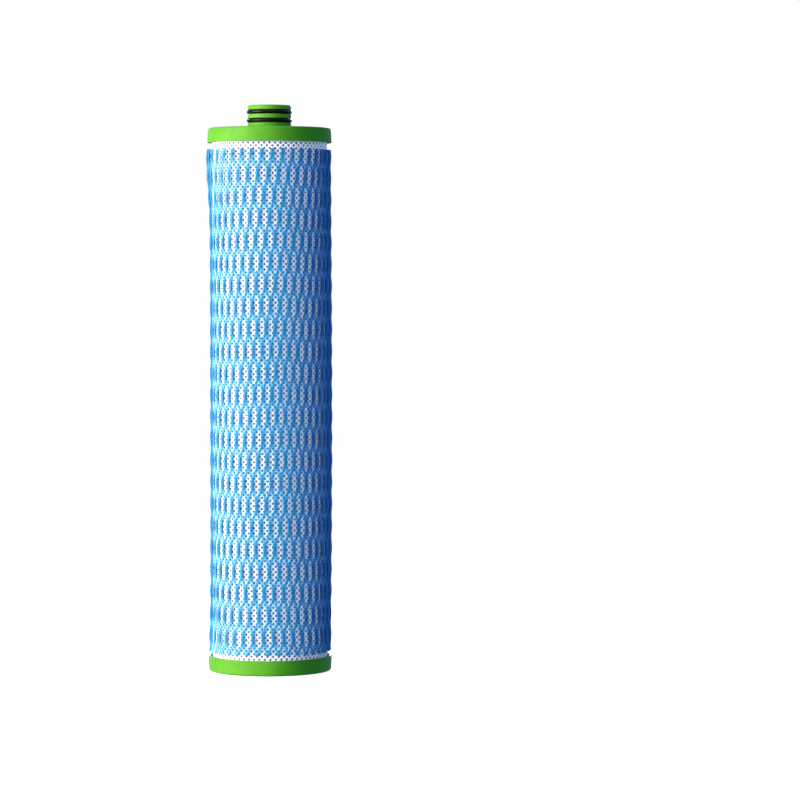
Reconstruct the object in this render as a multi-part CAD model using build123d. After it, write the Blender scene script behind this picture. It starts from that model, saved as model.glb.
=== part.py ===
from build123d import *
import os

# Replacement cartridge of an inline water filter. A hollow block of extruded carbon is glued between two
# moulded end caps. A fine white net and a coarser blue net cover the block, and a fleece sleeve lines its
# core. Water goes in through the nets and leaves through the spigot, which two O-rings seal in a socket.
#
# Millimetres. The origin is the middle of the bottom cap's underside, and +Z runs up the axis to the spigot.

# Driving dimensions
body_height = 248.0         # from the bottom cap's underside to the top cap's upper face
block_radius = 25.75
core_radius = 9.9           # the hole down the middle of the block
fleece_thickness = 1.0
fine_net_thickness = 0.9
blue_net_thickness = 1.1
layer_gap = 0.05            # between one wrapped layer and the next

bottom_cap_height = 7.0
top_cap_height = 6.7
cap_face_radius = 28.0      # at the closed end; the skirt widens by its moulding draft to the open edge
cap_edge_radius = 28.4
cap_wall = 1.8              # the end wall
skirt_bore_radius = 27.3
cap_corner = 1.0
cap_lip = 0.25
boss_length = 8.0           # the collar inside each cap that centres the block
boss_radius = 8.4
boss_corner = 0.6
gate_recess_radius = 4.0    # the dimple under the bottom cap, where the mould is filled
gate_recess_depth = 0.4

outlet_radius = 5.5
outlet_corner = 0.4
spigot_radius = 9.9
spigot_height = 10.4
spigot_corner = 0.5
spigot_root = 0.6
o_ring_section = 1.8
o_ring_radius = 9.45        # to the middle of the section
o_ring_heights = {"lower_o_ring": 3.4, "upper_o_ring": 7.35}   # above the top cap's face
groove_width = 2.1
groove_floor_radius = o_ring_radius - o_ring_section / 2 - 0.05
land_corner = 0.2

glue_thickness = 0.7        # between a cap's end wall and the block
glue_climb = 2.5            # how far the glue rises between the skirt and the fine net
blue_net_bottom = 9.0
blue_net_top = 238.0

# Sizes that follow from them
block_bottom = cap_wall + glue_thickness
block_top = body_height - block_bottom
fleece_outer_radius = core_radius - layer_gap
fine_net_radius = block_radius + layer_gap
fine_net_outer_radius = fine_net_radius + fine_net_thickness
blue_net_radius = fine_net_outer_radius + layer_gap
closeness = 0.001           # how near an edge must lie to the place it is picked by


def turned(*outline):
    """Solid of revolution about Z, from the corners of its closed outline as (radius, height)."""
    corners = [(radius, 0, height) for radius, height in outline]
    return revolve(make_face(Polyline(*corners, close=True)), axis=Axis.Z)


def tube(inner, outer, low, high):
    return turned((inner, low), (outer, low), (outer, high), (inner, high))


def rims(shape, radius, height):
    """The circular edges of this radius at this height."""
    circles = shape.edges().filter_by(GeomType.CIRCLE)
    return [
        edge
        for edge in circles
        if abs(edge.radius - radius) < closeness and abs(edge.arc_center.Z - height) < closeness
    ]


def closed_cap(height):
    """A cup with its closed face at the bottom: end wall, drafted skirt and centring collar."""
    boss_end = cap_wall + boss_length
    cap = turned(
        (0, 0),
        (cap_face_radius, 0),
        (cap_edge_radius, height),
        (skirt_bore_radius, height),
        (skirt_bore_radius, cap_wall),
        (boss_radius, cap_wall),
        (boss_radius, boss_end),
        (outlet_radius, boss_end),
        (outlet_radius, cap_wall),
        (0, cap_wall),
    )
    cap = fillet(rims(cap, cap_face_radius, 0), cap_corner)
    cap = fillet(rims(cap, cap_edge_radius, height), cap_lip)
    return chamfer(rims(cap, boss_radius, boss_end), boss_corner)


def bottom_end_cap():
    return closed_cap(bottom_cap_height) - tube(0, gate_recess_radius, 0, gate_recess_depth)


def spigot():
    """The outlet pipe standing on the top cap, with a groove for each O-ring, from its root at height 0."""
    pipe = Cylinder(spigot_radius, spigot_height, align=(Align.CENTER, Align.CENTER, Align.MIN))
    pipe = chamfer(rims(pipe, spigot_radius, spigot_height), spigot_corner)
    for middle in o_ring_heights.values():
        low = middle - groove_width / 2
        high = middle + groove_width / 2
        pipe -= tube(groove_floor_radius, spigot_radius + 1, low, high)
        pipe = fillet(rims(pipe, spigot_radius, low) + rims(pipe, spigot_radius, high), land_corner)
    return pipe


def top_end_cap():
    cap = Pos(0, 0, body_height) * Rot(180, 0, 0) * closed_cap(top_cap_height)
    cap += Pos(0, 0, body_height) * spigot()
    cap = fillet(rims(cap, spigot_radius, body_height), spigot_root)
    spigot_top = body_height + spigot_height
    cap -= tube(0, outlet_radius, block_bottom, spigot_top)
    return chamfer(rims(cap, outlet_radius, spigot_top), outlet_corner)


def o_ring(height):
    return Pos(0, 0, body_height + height) * Torus(o_ring_radius, o_ring_section / 2)


def carbon_block():
    return tube(core_radius, block_radius, block_bottom, block_top)


def core_fleece():
    return tube(fleece_outer_radius - fleece_thickness, fleece_outer_radius, block_bottom, block_top)


def fine_net():
    """The space that the fine white net takes up, as a plain sleeve."""
    return tube(fine_net_radius, fine_net_outer_radius, block_bottom, block_top)


def blue_net():
    """The space that the blue net takes up, as a plain sleeve."""
    return tube(blue_net_radius, blue_net_radius + blue_net_thickness, blue_net_bottom, blue_net_top)


def bottom_glue():
    """Hot glue on the end wall, squeezed up between the skirt and the fine net."""
    inner = boss_radius + layer_gap
    outer = skirt_bore_radius - layer_gap
    climb_inner = fine_net_outer_radius + layer_gap
    climb_top = block_bottom + glue_climb
    return turned(
        (inner, cap_wall),
        (outer, cap_wall),
        (outer, climb_top),
        (climb_inner, climb_top),
        (climb_inner, block_bottom),
        (inner, block_bottom),
    )


def top_glue():
    return Pos(0, 0, body_height) * Rot(180, 0, 0) * bottom_glue()


nodes = {
    "bottom_end_cap": bottom_end_cap(),
    "top_end_cap": top_end_cap(),
    "bottom_glue": bottom_glue(),
    "top_glue": top_glue(),
    "carbon_block": carbon_block(),
    "core_fleece": core_fleece(),
    "fine_net": fine_net(),
    "blue_net": blue_net(),
}
for name, height in o_ring_heights.items():
    nodes[name] = o_ring(height)

os.makedirs("parts", exist_ok=True)
for name, shape in nodes.items():
    export_step(shape, f"parts/{name}.step")
    print(name, f"{shape.volume:.1f} mm3", shape.bounding_box())
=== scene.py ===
import math
import random

import bpy
import numpy as np
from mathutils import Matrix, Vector


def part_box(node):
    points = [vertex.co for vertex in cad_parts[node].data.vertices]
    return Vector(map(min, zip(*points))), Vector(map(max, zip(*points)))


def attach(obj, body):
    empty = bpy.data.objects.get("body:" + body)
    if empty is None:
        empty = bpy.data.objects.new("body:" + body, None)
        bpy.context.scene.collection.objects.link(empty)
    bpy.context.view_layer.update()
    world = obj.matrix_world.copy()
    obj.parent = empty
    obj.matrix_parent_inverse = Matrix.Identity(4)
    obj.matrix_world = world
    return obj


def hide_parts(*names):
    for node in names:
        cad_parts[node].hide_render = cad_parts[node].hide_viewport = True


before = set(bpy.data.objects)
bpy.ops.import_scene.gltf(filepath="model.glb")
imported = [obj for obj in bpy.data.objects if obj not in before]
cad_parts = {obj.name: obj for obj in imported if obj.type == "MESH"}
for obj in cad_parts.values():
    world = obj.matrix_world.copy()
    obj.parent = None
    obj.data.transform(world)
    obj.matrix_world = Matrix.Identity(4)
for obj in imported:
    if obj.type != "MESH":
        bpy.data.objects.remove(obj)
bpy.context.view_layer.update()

# The looks of a filter cartridge: a rolled fleece and two nets made of real strands take the place of the
# plain CAD sleeves, the other pieces keep their CAD shape, and all of it stands in a white studio.

MM = 0.001
DEGREE = math.radians(1)
BODY = "root"


# ---------------------------------------------------------------- sizes, in metres and radians

_, block_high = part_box("carbon_block")
fine_low, fine_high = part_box("fine_net")
blue_low, blue_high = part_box("blue_net")
fleece_low, fleece_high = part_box("core_fleece")
block_radius = block_high.x

GAP = 0.05 * MM                     # between one wrapped layer and the next

# the fine white net: two families of straight diagonal strands
FINE_STRANDS = 66
FINE_SIDES = 6
FINE_HALF_WIDTH = 0.345 * MM
LEFT_EXTRA_WIDTH = 0.5              # of the strands at the far left, as a share of their width
FINE_THICKNESS = 0.5 * MM
FINE_STEP = 2.4 * MM
FINE_WAVER = 0.12 * MM

# the blue net: strands run side by side in upright bands, then part and cross to the next row's bands
BANDS = 38
BLUE_SIDES = 8
ROW_HEIGHT = 9.93 * MM
FIRST_ROW = 16.5 * MM               # the middle of the lowest whole row of openings
BLUE_STEP = ROW_HEIGHT / 14
BAND_HALF_SPACING = 0.20 * MM       # from the middle of a band to the middle of each of its two strands
JOINED_HALF_WIDTH = 0.88 * MM       # of a strand where two run together in a band
PARTED_HALF_WIDTH = 0.85 * MM       # and where it is drawn out flat between two bands
JOINED_HALF_DEPTH = 0.52 * MM
PARTED_HALF_DEPTH = 0.36 * MM
RIGHT_EXTRA_DEPTH = 0.42 * MM       # half of what the strands down the right side are thicker
SIDEWAYS_WAVER = 0.22 * MM
UPRIGHT_WAVER = 0.35 * MM
blue_inner = block_radius + GAP + FINE_THICKNESS + GAP
blue_middle = (blue_high.x + blue_inner) / 2
blue_pitch = 2 * math.pi * blue_middle / BANDS

# how thick the blue plastic is across a strand, from 1 where it is thickest to 0 where it is clear
JOINED_REACH = 0.66 * MM            # how far from a band's middle the plastic stays thick
PARTED_REACH = 0.36 * MM            # and from a parted strand's own middle
DRAWN_OUT = 0.62                    # the thickness at the middle of a parted strand
DRAWN_OUT_SPREAD = 0.16             # more of it where the strand slants up to the right, less up to the left
RIGHT_PAINTED_SHADE = 0.6         # painted shade: how much of what is missing to 1 is made up down the right side

# how the blue net's rows ride up, most of all on a crest that leans across the front
RISE = 0.7 * MM
END_DROP = 0.9 * MM                 # less of it at the top and the bottom
CREST_RISE = 1.2 * MM
CREST_RISE_SPREAD = 0.5 * MM        # more of it at the top, and less at the bottom
CREST = 10 * DEGREE                 # where it is at mid-height, from the front
CREST_LEAN = 12 * DEGREE            # left of that at the top, and right of it at the bottom
CREST_WIDTH = 30 * DEGREE

# how its columns lie: the left ones bow towards the front at mid-height
COLUMN_START = -2.8 * DEGREE        # of the first column, from the front
BOW = 9.6 * DEGREE
END_SPREAD = 5.6 * DEGREE           # how far back from the front the left ones lie at the top and the bottom
SIDE_SHARPNESS = 2.4                # how sharply the left ones are told from the right ones
SIDE_SHIFT = 0.07                   # puts the change a little to the right of the front
BAND_LEAN = 0.19 * MM               # how far the bands lean: right at the net's top, left at its bottom

# how far the blue net stands off the fine one
TOP_FLARE = 1.5 * MM
TOP_FLARE_HEIGHT = 22 * MM
TOP_TUCK = 0.35                     # how much of the flare is drawn in again at the very edge
TOP_TUCK_HEIGHT = TOP_FLARE_HEIGHT / 6
BOTTOM_FLARE = 0.5 * MM
BOTTOM_FLARE_HEIGHT = 18 * MM
RIGHT_SLACK = 0.05 * MM
RIGHT_BELLY = 0.4 * MM              # more at mid-height
LEFT_END_SLACK = 0.4 * MM

# the rolled fleece
FLEECE_THICKNESS = 0.45 * MM
FLEECE_INSET = 0.5 * MM             # from the sleeve's outside to the middle of the sheet
FLEECE_CLIMB = 1.1 * FLEECE_THICKNESS   # from the sheet's first edge to its last, which lies over the first
FLEECE_TURN = 2 * math.pi + 0.45    # a whole turn and the lap
FLEECE_STEPS_AROUND = 150
FLEECE_STEPS_UPRIGHT = 120
FLEECE_WAVER = 0.025 * MM

# the studio
FLOOR_RADIUS = 0.9
FLOOR_FADE_START = 0.1              # the radius where the floor starts to fade
FLOOR_FADE_END = 0.6                # and where it is gone
FLOOR_DROP = 0.2 * MM               # below the underside, so that the two faces don't flicker
FLOOR_SIDES = 96
EYE = (0.0596, -1.56, 0.18145)      # the camera's place
EYE_DIP = 2.13 * DEGREE             # how far the camera looks down
LENS_MM = 153.05
SENSOR_MM = 36
LAMP_TARGET = (0, 0, 0.125)


# ---------------------------------------------------------------- materials

THIN_BLUE = (0.07, 0.34, 0.50)
THICK_BLUE = (0.012, 0.155, 0.290)
BLUE_PATCHES = 0.25                 # how much noise adds to the thickness that the colour follows
FILM_SEEN = (0.76, 0.93, 1.0)       # what a look through the clear part of the net takes on
FILM_LIT = (0.76, 0.92, 1.0)        # and the light that falls through it


class Surface:
    """A principled material, with helpers that drive its colour, roughness and bump from noise, and one that
    paints shade down the right side.
    """

    def __init__(self, name, roughness, **sockets):
        self.material = bpy.data.materials.new(name)
        self.material.use_nodes = True
        self.nodes = self.material.node_tree.nodes
        self.links = self.material.node_tree.links
        self.shader = self.nodes["Principled BSDF"]
        self.shader.inputs["Roughness"].default_value = roughness
        for key, value in sockets.items():
            self.shader.inputs[key.replace("_", " ")].default_value = value
        self.place = self.nodes.new("ShaderNodeTexCoord").outputs["Object"]
        self.normal = None

    def noise(self, size, detail=3, stretch=(1, 1, 1)):
        """Noise whose grains are about size metres across, drawn out by stretch along each axis."""
        mapping = self.nodes.new("ShaderNodeMapping")
        mapping.inputs["Scale"].default_value = [1 / (size * s) for s in stretch]
        self.links.new(self.place, mapping.inputs["Vector"])
        noise = self.nodes.new("ShaderNodeTexNoise")
        noise.inputs["Scale"].default_value = 1.0
        noise.inputs["Detail"].default_value = detail
        self.links.new(mapping.outputs["Vector"], noise.inputs["Vector"])
        return noise.outputs["Fac"]

    def cells(self, size):
        """Grains about size metres across, as the distance from each one's middle."""
        voronoi = self.nodes.new("ShaderNodeTexVoronoi")
        voronoi.inputs["Scale"].default_value = 1 / size
        self.links.new(self.place, voronoi.inputs["Vector"])
        return voronoi.outputs["Distance"]

    def colour(self, source, low, high, spread=(0.3, 0.7)):
        """Colours from low to high as the source goes from the first to the second value of spread."""
        ramp = self.nodes.new("ShaderNodeValToRGB")
        for element, at, tone in zip(ramp.color_ramp.elements, spread, (low, high)):
            element.position = at
            element.color = (*tone, 1)
        self.links.new(source, ramp.inputs["Fac"])
        self.links.new(ramp.outputs["Color"], self.shader.inputs["Base Color"])

    def paint_shade_to_right(self, tone, start, end):
        """Paints shade down the right side: multiplies the colour by tone, not at all left of start, and
        fully from end on.

        Both are shares of the block's radius, measured from the axis towards +X.
        """
        aside = self.nodes.new("ShaderNodeSeparateXYZ")
        self.links.new(self.place, aside.inputs["Vector"])
        share = self.nodes.new("ShaderNodeMapRange")
        share.inputs["From Min"].default_value = start * block_radius
        share.inputs["From Max"].default_value = end * block_radius
        self.links.new(aside.outputs["X"], share.inputs["Value"])
        mix = self.nodes.new("ShaderNodeMix")
        mix.data_type = "RGBA"
        mix.blend_type = "MULTIPLY"
        mix.inputs["B"].default_value = (*tone, 1)
        self.links.new(share.outputs["Result"], mix.inputs["Factor"])
        self.links.new(self.shader.inputs["Base Color"].links[0].from_socket, mix.inputs["A"])
        self.links.new(mix.outputs["Result"], self.shader.inputs["Base Color"])

    def roughness(self, source, low, high):
        """Roughness from low to high over the values that noise mostly takes."""
        span = self.nodes.new("ShaderNodeMapRange")
        for key, value in zip(("From Min", "From Max", "To Min", "To Max"), (0.3, 0.7, low, high)):
            span.inputs[key].default_value = value
        self.links.new(source, span.inputs["Value"])
        self.links.new(span.outputs["Result"], self.shader.inputs["Roughness"])

    def bump(self, source, depth):
        """Relief of that depth in metres, on top of the relief that is there already."""
        bump = self.nodes.new("ShaderNodeBump")
        bump.inputs["Distance"].default_value = depth
        self.links.new(source, bump.inputs["Height"])
        if self.normal is not None:
            self.links.new(self.normal, bump.inputs["Normal"])
        self.normal = bump.outputs["Normal"]
        self.links.new(self.normal, self.shader.inputs["Normal"])

    def show_through(self, thickness, share, tint, lit_share, lit_tint):
        """Lets part of what lies behind show through: share of it where thickness is 0, none where it is 1.

        What is seen through the surface takes on the tint. At least lit_share of the lamps' light gets
        through to what lies behind, and takes on lit_tint.
        """
        seen = self.nodes.new("ShaderNodeMapRange")
        seen.inputs["To Min"].default_value = share
        seen.inputs["To Max"].default_value = 0.0
        self.links.new(thickness, seen.inputs["Value"])
        ray = self.nodes.new("ShaderNodeLightPath")
        lit = self.nodes.new("ShaderNodeMath")
        lit.operation = "MULTIPLY"
        lit.inputs[1].default_value = lit_share
        self.links.new(ray.outputs["Is Shadow Ray"], lit.inputs[0])
        most = self.nodes.new("ShaderNodeMath")
        most.operation = "MAXIMUM"
        self.links.new(seen.outputs["Result"], most.inputs[0])
        self.links.new(lit.outputs["Value"], most.inputs[1])
        tone = self.nodes.new("ShaderNodeMix")
        tone.data_type = "RGBA"
        tone.inputs["A"].default_value = (*tint, 1)
        tone.inputs["B"].default_value = (*lit_tint, 1)
        self.links.new(ray.outputs["Is Shadow Ray"], tone.inputs["Factor"])
        clear = self.nodes.new("ShaderNodeBsdfTransparent")
        self.links.new(tone.outputs["Result"], clear.inputs["Color"])
        mix = self.nodes.new("ShaderNodeMixShader")
        self.links.new(most.outputs["Value"], mix.inputs["Fac"])
        self.links.new(self.shader.outputs["BSDF"], mix.inputs[1])
        self.links.new(clear.outputs["BSDF"], mix.inputs[2])
        self.links.new(mix.outputs["Shader"], self.nodes["Material Output"].inputs["Surface"])


def cap_plastic():
    green = Surface("green_cap_plastic", 0.38, Specular_IOR_Level=0.08)
    green.colour(green.noise(9 * MM), low=(0.060, 0.208, 0.008), high=(0.072, 0.240, 0.012))
    # painted shade: the green is multiplied darker towards the right side
    green.paint_shade_to_right((0.25, 0.62, 0.2), start=-0.1, end=0.7)
    green.roughness(green.noise(2.5 * MM, detail=5), low=0.42, high=0.56)
    green.bump(green.noise(0.5 * MM, detail=4), depth=0.012 * MM)
    green.bump(green.noise(14 * MM, detail=1), depth=0.08 * MM)
    return green.material


def seal_rubber():
    rubber = Surface("black_seal_rubber", 0.3, Specular_IOR_Level=0.1)
    rubber.colour(rubber.noise(3 * MM), low=(0.001, 0.002, 0.001), high=(0.002, 0.003, 0.002))
    rubber.roughness(rubber.noise(1.2 * MM, detail=5), low=0.24, high=0.34)
    rubber.bump(rubber.noise(0.25 * MM), depth=0.008 * MM)
    return rubber.material


def carbon():
    block = Surface("sintered_carbon", 0.85, Specular_IOR_Level=0.25)
    block.colour(block.noise(0.8 * MM, detail=6), low=(0.21, 0.175, 0.183), high=(0.32, 0.275, 0.283))
    block.bump(block.cells(0.7 * MM), depth=0.06 * MM)
    block.bump(block.noise(0.25 * MM, detail=4), depth=0.03 * MM)
    return block.material


def white_net_plastic():
    white = Surface("white_net_plastic", 0.42, Subsurface_Weight=0.3, Subsurface_Scale=1 * MM)
    white.shader.inputs["Subsurface Radius"].default_value = (1.0, 1.0, 1.0)
    white.colour(white.noise(5 * MM), low=(0.76, 0.77, 0.79), high=(0.83, 0.84, 0.85))
    white.roughness(white.noise(1.5 * MM, detail=4), low=0.36, high=0.5)
    white.bump(white.noise(0.3 * MM), depth=0.02 * MM)
    return white.material


def blue_net_plastic():
    """Blue plastic: pale and see-through where it is drawn out thin, deep in colour where it is thick, and
    with painted shade down the right side.
    """
    blue = Surface("blue_net_plastic", 0.3, Specular_IOR_Level=0.12)
    # the tint attribute: the plastic's thickness, with painted shade added down the right side
    thickness = blue.nodes.new("ShaderNodeAttribute")
    thickness.attribute_name = "tint"
    patchy = blue.nodes.new("ShaderNodeMath")
    patchy.operation = "MULTIPLY_ADD"
    patchy.inputs[1].default_value = BLUE_PATCHES
    blue.links.new(blue.noise(3 * MM, detail=4), patchy.inputs[0])
    blue.links.new(thickness.outputs["Fac"], patchy.inputs[2])
    blue.colour(patchy.outputs["Value"], low=THIN_BLUE, high=THICK_BLUE, spread=(0.1, 0.8))
    # painted shade: the blue is multiplied darker towards the right side
    blue.paint_shade_to_right((0.4, 0.55, 0.92), start=0.25, end=0.85)
    blue.roughness(blue.noise(2 * MM, detail=4), low=0.24, high=0.4)
    blue.bump(blue.noise(0.35 * MM, stretch=(1, 1, 8)), depth=0.02 * MM)
    blue.show_through(thickness.outputs["Fac"], share=0.97, tint=FILM_SEEN, lit_share=0.6, lit_tint=FILM_LIT)
    return blue.material


def fleece_fibre():
    fleece = Surface("white_fleece", 0.9, Sheen_Weight=0.3)
    fleece.colour(fleece.noise(1.5 * MM, detail=8), low=(0.62, 0.62, 0.60), high=(0.84, 0.84, 0.82))
    fleece.bump(fleece.noise(0.3 * MM, detail=6, stretch=(1, 1, 3)), depth=0.15 * MM)
    return fleece.material


def hot_glue():
    glue = Surface("hot_glue", 0.3, Subsurface_Weight=0.4, Subsurface_Scale=2 * MM)
    glue.shader.inputs["Subsurface Radius"].default_value = (1.0, 0.9, 0.7)
    glue.colour(glue.noise(4 * MM), low=(0.72, 0.67, 0.52), high=(0.82, 0.79, 0.68))
    glue.bump(glue.noise(1.5 * MM, detail=2), depth=0.15 * MM)
    return glue.material


def finish_cad_nodes():
    """The CAD pieces whose shape is right keep it, and get their real material."""
    finishes = {
        cap_plastic(): ("top_end_cap", "bottom_end_cap"),
        seal_rubber(): ("upper_o_ring", "lower_o_ring"),
        carbon(): ("carbon_block",),
        hot_glue(): ("top_glue", "bottom_glue"),
    }
    for material, names in finishes.items():
        for name in names:
            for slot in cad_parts[name].material_slots:
                slot.material = material


# ---------------------------------------------------------------- meshes

def quads(*corners):
    """Four-cornered faces, from four equally large arrays of corner numbers."""
    return np.stack(corners, axis=-1).reshape(-1, 4).tolist()


def mesh_object(name, points, faces, smooth=0):
    """A mesh in the scene, with its first faces shaded smooth and the rest flat."""
    mesh = bpy.data.meshes.new(name)
    mesh.from_pydata(points, [], faces)
    mesh.polygons.foreach_set("use_smooth", np.arange(len(faces)) < smooth)
    made = bpy.data.objects.new(name, mesh)
    bpy.context.scene.collection.objects.link(made)
    return made


def dress(piece, material, node):
    """Gives a piece its material, hangs it under the body's empty, and hides the CAD piece that it stands
    for.
    """
    piece.data.materials.append(material)
    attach(piece, BODY)
    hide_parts(node)


def ripple(seed, wavelength, size, waves=7):
    """A smooth random displacement over angle and height, the same on every run."""
    draw = random.Random(seed)
    parts = []
    for _ in range(waves):
        around = draw.choice((1, 2, 3, 4, 5))
        upright = draw.uniform(0.4, 1.6) * 2 * math.pi / wavelength
        parts.append((around, upright, draw.uniform(0, 2 * math.pi), draw.uniform(0.5, 1)))
    total = sum(weight for *_, weight in parts)

    def at(angle, height):
        value = 0
        for around, upright, phase, weight in parts:
            value = value + weight * np.sin(around * angle + upright * height + phase)
        return value * size / total * 2

    return at


# ---------------------------------------------------------------- nets

def strands(name, angle, radius, height, half_width, half_depth, sides, tint=None):
    """One mesh of closed strands round the cartridge, with an oval section of that many sides.

    angle, height and the rest have a row per strand and a column per step, or are one number for all.
    angle is measured round the axis from the front, towards +X. tint, where given, takes how far to the
    side of its strand's middle each corner lies and answers with the value kept in the tint attribute.
    """
    count, steps = angle.shape
    radius, half_width, half_depth, _ = np.broadcast_arrays(radius, half_width, half_depth, angle)
    outward = np.stack([np.sin(angle), -np.cos(angle), np.zeros_like(angle)], axis=-1)
    middle = outward * radius[..., None]
    middle[..., 2] = height
    along = np.gradient(middle, axis=1)
    along /= np.linalg.norm(along, axis=-1, keepdims=True)
    across = np.cross(outward, along)
    across /= np.linalg.norm(across, axis=-1, keepdims=True)
    turn = np.arange(sides) * 2 * math.pi / sides
    sideways = across[:, :, None, :] * np.cos(turn)[:, None] * half_width[..., None, None]
    outwards = outward[:, :, None, :] * np.sin(turn)[:, None] * half_depth[..., None, None]
    points = (middle[:, :, None, :] + sideways + outwards).reshape(-1, 3)

    index = np.arange(count * steps * sides).reshape(count, steps, sides)
    onward = np.roll(index, -1, axis=2)
    walls = quads(index[:, :-1], onward[:, :-1], onward[:, 1:], index[:, 1:])
    ends = index[:, 0, ::-1].tolist() + index[:, -1].tolist()
    piece = mesh_object(name, points.tolist(), walls + ends, smooth=len(walls))
    if tint is not None:
        kept = piece.data.attributes.new("tint", "FLOAT", "POINT")
        kept.data.foreach_set("value", tint(half_width[..., None] * np.cos(turn)).reshape(-1))
    return piece


def fine_net():
    """Two families of straight strands at 45 degrees, welded flush where they cross."""
    material = white_net_plastic()
    half_depth = FINE_THICKNESS / 2
    radius = block_radius + GAP + half_depth
    steps = round((fine_high.z - fine_low.z) / FINE_STEP) + 1
    height = np.linspace(fine_low.z, fine_high.z, steps)
    first = np.arange(FINE_STRANDS) * 2 * math.pi / FINE_STRANDS
    waver = ripple(seed=11, wavelength=60 * MM, size=FINE_WAVER)
    for name, way in (("fine_net_left_hand_strands", -1), ("fine_net_right_hand_strands", 1)):
        angle = first[:, None] + way * height / radius
        angle = angle + waver(angle, height) / radius
        half_width = FINE_HALF_WIDTH * (1 + LEFT_EXTRA_WIDTH * np.maximum(-np.sin(angle), 0) ** 2)
        piece = strands(name, angle, radius, height, half_width, half_depth, FINE_SIDES)
        dress(piece, material, "fine_net")


def blue_net():
    """Two families of strands that sway against each other, joined in bands and parted at the openings."""
    material = blue_net_plastic()
    steps = round((blue_high.z - blue_low.z) / BLUE_STEP) + 1
    height = np.linspace(blue_low.z, blue_high.z, steps)
    share = np.linspace(-1, 1, steps)
    column = blue_pitch * np.arange(BANDS)[:, None]
    # row is a whole number at the middle of each band
    row = (height - lift(column / blue_middle, share) - FIRST_ROW) / ROW_HEIGHT
    half_width = by_joining(row, PARTED_HALF_WIDTH, JOINED_HALF_WIDTH)
    shift_sideways = ripple(seed=5, wavelength=90 * MM, size=SIDEWAYS_WAVER)
    shift_upright = ripple(seed=8, wavelength=120 * MM, size=UPRIGHT_WAVER)
    for name, side in (("blue_net_left_strands", -1), ("blue_net_right_strands", 1)):
        place = column + side * off_column(row) + BAND_LEAN * share * np.sin(2 * math.pi * row)
        angle = settled(place / blue_middle, share)
        angle = angle + shift_sideways(angle, height) / blue_middle
        heights = height + shift_upright(angle, height)
        # how far round to the right a strand lies: 0 in front, 1 at the far right; the strands are thicker
        # there, and their colour gets painted shade
        toward_right = np.maximum(np.sin(angle), 0) ** 5
        half_depth = by_joining(row, PARTED_HALF_DEPTH, JOINED_HALF_DEPTH) + RIGHT_EXTRA_DEPTH * toward_right
        radius = blue_inner + half_depth + flare(angle, heights)
        tint = film_thickness_and_right_shade(row, side, toward_right)
        piece = strands(name, angle, radius, heights, half_width, half_depth, BLUE_SIDES, tint)
        dress(piece, material, "blue_net")


def by_joining(row, parted, joined):
    """Goes from parted, halfway between two rows' bands, to joined, at the middle of a band."""
    return parted + (joined - parted) * (0.5 + 0.5 * np.cos(2 * math.pi * row))


def off_column(row):
    """How far a strand lies from its column's middle, on its way between two bands."""
    return blue_pitch / 4 - (blue_pitch / 4 - BAND_HALF_SPACING) * np.cos(math.pi * row)


def film_thickness_and_right_shade(row, side, toward_right):
    """How thick the plastic is across the strands of one side's family. Down the right side the value is
    raised further, which paints shade there.
    """
    joined = by_joining(row, 0, 1)
    in_own_band = np.cos(math.pi * row) > 0
    from_band = np.where(in_own_band, off_column(row), blue_pitch / 2 - off_column(row))
    inward = np.where(in_own_band, -side, side)
    drawn_out = DRAWN_OUT + DRAWN_OUT_SPREAD * side * np.sin(math.pi * row)
    thickest = drawn_out + (1 - drawn_out) * joined**1.5
    # painted shade: down the right side the value is raised and spread wider, which deepens the colour there
    thickest = thickest + RIGHT_PAINTED_SHADE * toward_right * (1 - thickest)
    reach = by_joining(row, PARTED_REACH, JOINED_REACH) * (1 + toward_right)

    def at(aside):
        from_middle = (joined * from_band)[..., None] + aside * inward[..., None]
        return thickest[..., None] * np.exp(-(from_middle / reach[..., None]) ** 2)

    return at


def lift(angle, share):
    """How far the rows ride up. share goes from -1 at the bottom of the net to 1 at its top."""
    crest = CREST - CREST_LEAN * share
    off_crest = np.remainder(angle - crest + math.pi, 2 * math.pi) - math.pi
    ridge = np.exp(-(off_crest / CREST_WIDTH) ** 2)
    return RISE - END_DROP * share**2 + (CREST_RISE + CREST_RISE_SPREAD * share) * ridge


def settled(angle, share):
    """Where the columns lie round the block."""
    on_left = 0.5 - 0.5 * np.tanh(SIDE_SHARPNESS * np.sin(angle) - SIDE_SHIFT)
    return angle + COLUMN_START + (BOW * (1 - share**2) - END_SPREAD) * on_left


def flare(angle, height):
    """How far the net stands off the one below it: near its cut ends, and a little down its sides."""
    from_left = 0.5 - 0.5 * np.sin(angle)
    below_top = blue_high.z - height
    above_bottom = height - blue_low.z
    share = 2 * above_bottom / (blue_high.z - blue_low.z) - 1
    tuck = 1 - TOP_TUCK * np.exp(-(below_top / TOP_TUCK_HEIGHT) ** 2)
    top = TOP_FLARE * from_left**3 * np.exp(-(below_top / TOP_FLARE_HEIGHT) ** 2) * tuck
    bottom = BOTTOM_FLARE * from_left * np.exp(-(above_bottom / BOTTOM_FLARE_HEIGHT) ** 2)
    right = (RIGHT_SLACK + RIGHT_BELLY * (1 - share**2) ** 2) * np.maximum(np.sin(angle), 0) ** 3
    left = LEFT_END_SLACK * share**4 * np.minimum(np.sin(angle), 0) ** 2
    return top + bottom + right + left


# ---------------------------------------------------------------- fleece

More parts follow.
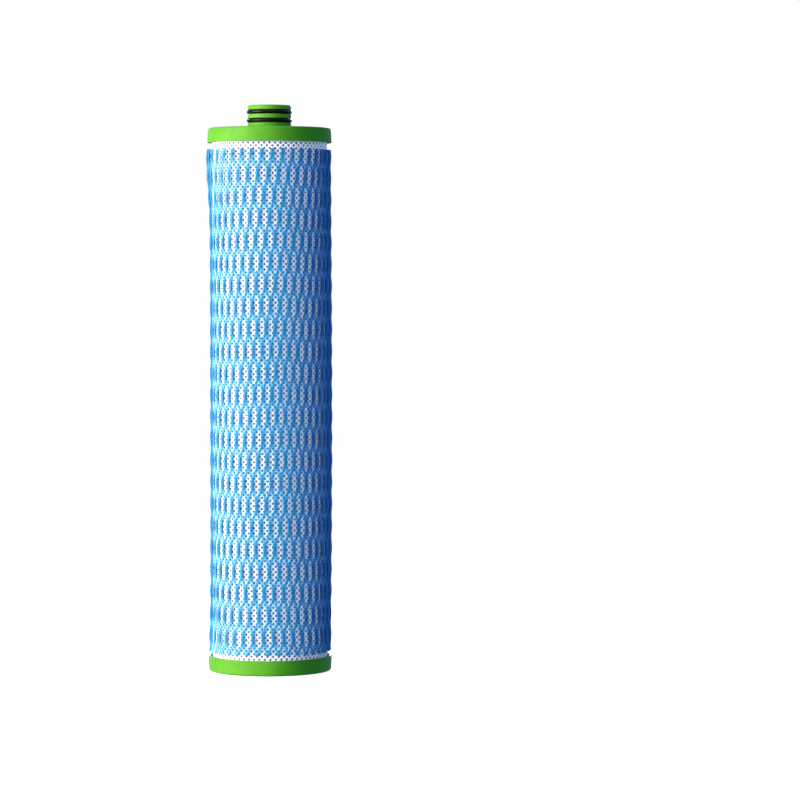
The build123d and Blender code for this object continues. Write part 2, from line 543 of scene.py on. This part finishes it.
def sheet_faces(inner, outer):
    """The two sides and four edges of a sheet, from the corner numbers of its inner and outer side."""
    faces = quads(inner[:-1, :-1], inner[:-1, 1:], inner[1:, 1:], inner[1:, :-1])
    faces += quads(outer[:-1, :-1], outer[1:, :-1], outer[1:, 1:], outer[:-1, 1:])
    faces += quads(inner[:-1, 0], inner[1:, 0], outer[1:, 0], outer[:-1, 0])
    faces += quads(inner[:-1, -1], outer[:-1, -1], outer[1:, -1], inner[1:, -1])
    faces += quads(inner[0, :-1], outer[0, :-1], outer[0, 1:], inner[0, 1:])
    faces += quads(inner[-1, :-1], inner[-1, 1:], outer[-1, 1:], outer[-1, :-1])
    return faces


def core_fleece():
    """A sheet of fleece rolled into the core, with its long edges lapped."""
    turn, height = np.meshgrid(
        np.linspace(0, FLEECE_TURN, FLEECE_STEPS_AROUND),
        np.linspace(fleece_low.z, fleece_high.z, FLEECE_STEPS_UPRIGHT),
        indexing="ij",
    )
    waver = ripple(seed=21, wavelength=40 * MM, size=FLEECE_WAVER)
    mean_radius = fleece_high.x - FLEECE_INSET
    middle = mean_radius + (turn / FLEECE_TURN - 0.5) * FLEECE_CLIMB + waver(turn, height)
    points = []
    for radius in (middle - FLEECE_THICKNESS / 2, middle + FLEECE_THICKNESS / 2):
        layer = np.stack([radius * np.sin(turn), -radius * np.cos(turn), height], axis=-1)
        points += layer.reshape(-1, 3).tolist()
    inner, outer = np.arange(len(points)).reshape(2, *turn.shape)
    faces = sheet_faces(inner, outer)
    piece = mesh_object("rolled_core_fleece", points, faces, smooth=len(faces))
    dress(piece, fleece_fibre(), "core_fleece")


# ---------------------------------------------------------------- studio

def floor_paint():
    """Pale in the middle, clear towards the rim, and clear all over from below, to show the underside."""
    material = bpy.data.materials.new("pale_floor")
    material.use_nodes = True
    nodes, links = material.node_tree.nodes, material.node_tree.links
    shader = nodes["Principled BSDF"]
    shader.inputs["Base Color"].default_value = (0.9, 0.9, 0.9, 1)
    shader.inputs["Roughness"].default_value = 0.9
    shader.inputs["Specular IOR Level"].default_value = 0.0
    shader.inputs["Emission Color"].default_value = (1, 1, 1, 1)
    shader.inputs["Emission Strength"].default_value = 0.8
    distance = nodes.new("ShaderNodeVectorMath")
    distance.operation = "LENGTH"
    links.new(nodes.new("ShaderNodeTexCoord").outputs["Object"], distance.inputs[0])
    fade = nodes.new("ShaderNodeMapRange")
    fade.interpolation_type = "SMOOTHSTEP"
    fade.inputs["From Min"].default_value = FLOOR_FADE_START
    fade.inputs["From Max"].default_value = FLOOR_FADE_END
    links.new(distance.outputs["Value"], fade.inputs["Value"])
    hidden = nodes.new("ShaderNodeMath")
    hidden.operation = "MAXIMUM"
    links.new(fade.outputs["Result"], hidden.inputs[0])
    links.new(nodes.new("ShaderNodeNewGeometry").outputs["Backfacing"], hidden.inputs[1])
    mix = nodes.new("ShaderNodeMixShader")
    links.new(hidden.outputs["Value"], mix.inputs["Fac"])
    links.new(shader.outputs["BSDF"], mix.inputs[1])
    links.new(nodes.new("ShaderNodeBsdfTransparent").outputs["BSDF"], mix.inputs[2])
    links.new(mix.outputs["Shader"], nodes["Material Output"].inputs["Surface"])
    return material


def floor():
    """A round floor without a visible edge, which throws no light or shade on the object."""
    turns = np.linspace(0, 2 * math.pi, FLOOR_SIDES, endpoint=False)
    rim = [(FLOOR_RADIUS * math.cos(turn), FLOOR_RADIUS * math.sin(turn), -FLOOR_DROP) for turn in turns]
    plane = mesh_object("floor", rim, [list(range(FLOOR_SIDES))])
    plane.data.materials.append(floor_paint())
    plane.visible_diffuse = False
    plane.visible_glossy = False
    plane.visible_transmission = False
    plane.visible_shadow = False


def surround():
    """A studio that looks white but only gives a dim, slightly blue light."""
    world = bpy.data.worlds.new("white_surround")
    bpy.context.scene.world = world
    world.use_nodes = True
    nodes, links = world.node_tree.nodes, world.node_tree.links
    seen = nodes["Background"]
    seen.inputs["Color"].default_value = (1, 1, 1, 1)
    given = nodes.new("ShaderNodeBackground")
    given.inputs["Color"].default_value = (0.47, 0.62, 1.0, 1)
    given.inputs["Strength"].default_value = 1.0
    ray = nodes.new("ShaderNodeLightPath")
    mix = nodes.new("ShaderNodeMixShader")
    links.new(ray.outputs["Is Camera Ray"], mix.inputs["Fac"])
    links.new(given.outputs["Background"], mix.inputs[1])
    links.new(seen.outputs["Background"], mix.inputs[2])
    links.new(mix.outputs["Shader"], nodes["World Output"].inputs["Surface"])


def softbox(name, place, size, power, colour=(1, 1, 1)):
    """A square lamp that faces the cartridge, with a side of that size and a power in watts."""
    light = bpy.data.lights.new(name, "AREA")
    light.shape = "SQUARE"
    light.size = size
    light.energy = power
    light.color = colour
    lamp = bpy.data.objects.new(name, light)
    lamp.location = place
    lamp.rotation_euler = (Vector(LAMP_TARGET) - Vector(place)).to_track_quat("-Z", "Y").to_euler()
    lamp.visible_camera = False
    bpy.context.scene.collection.objects.link(lamp)


def lights():
    softbox("key", place=(-1.27, -0.59, 0.35), size=1.1, power=75, colour=(1.0, 0.93, 0.88))
    softbox("front", place=(-0.3, -1.6, 0.5), size=0.9, power=9, colour=(0.75, 0.86, 1.0))
    softbox("top", place=(-0.2, -0.1, 1.4), size=0.8, power=5)
    softbox("back", place=(0, 1.5, 0.4), size=0.3, power=14)


def camera():
    """A metre and a half away, near the height of the upper body, with the cartridge left of the middle."""
    lens = bpy.data.cameras.new("camera")
    lens.sensor_width = SENSOR_MM
    lens.lens = LENS_MM
    eye = bpy.data.objects.new("camera", lens)
    eye.location = EYE
    eye.rotation_euler = (math.pi / 2 - EYE_DIP, 0, 0)
    bpy.context.scene.collection.objects.link(eye)
    bpy.context.scene.camera = eye


camera()
surround()
floor()
lights()
finish_cad_nodes()
fine_net()
blue_net()
core_fleece()
bpy.context.scene.view_settings.view_transform = "Standard"
